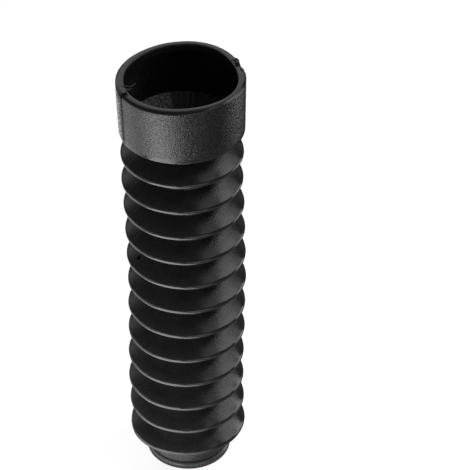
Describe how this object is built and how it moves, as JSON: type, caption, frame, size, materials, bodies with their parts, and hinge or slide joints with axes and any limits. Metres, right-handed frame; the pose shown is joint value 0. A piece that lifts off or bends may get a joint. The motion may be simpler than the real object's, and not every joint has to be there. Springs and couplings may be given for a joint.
{
  "type": "fork gaiter",
  "caption": "Moulded rubber bellows gaiter for a motorcycle fork, with a wide plain collar at one end and a narrow grooved neck at the other.",
  "frame": {"origin": "centre of the neck's end face, on the surface that the gaiter stands on", "axes": "+Z along the bore from the neck to the collar; -Y towards the viewer of the picture; the mould part line lies at 65 degrees from -Y towards -X and opposite it"},
  "size_m": [0.0664, 0.0664, 0.2509],
  "materials": {
    "rubber": "matte black moulded rubber with a fine grain"
  },
  "bodies": {
    "root": {"gaiter": "rubber"}
  },
  "joints": []
}
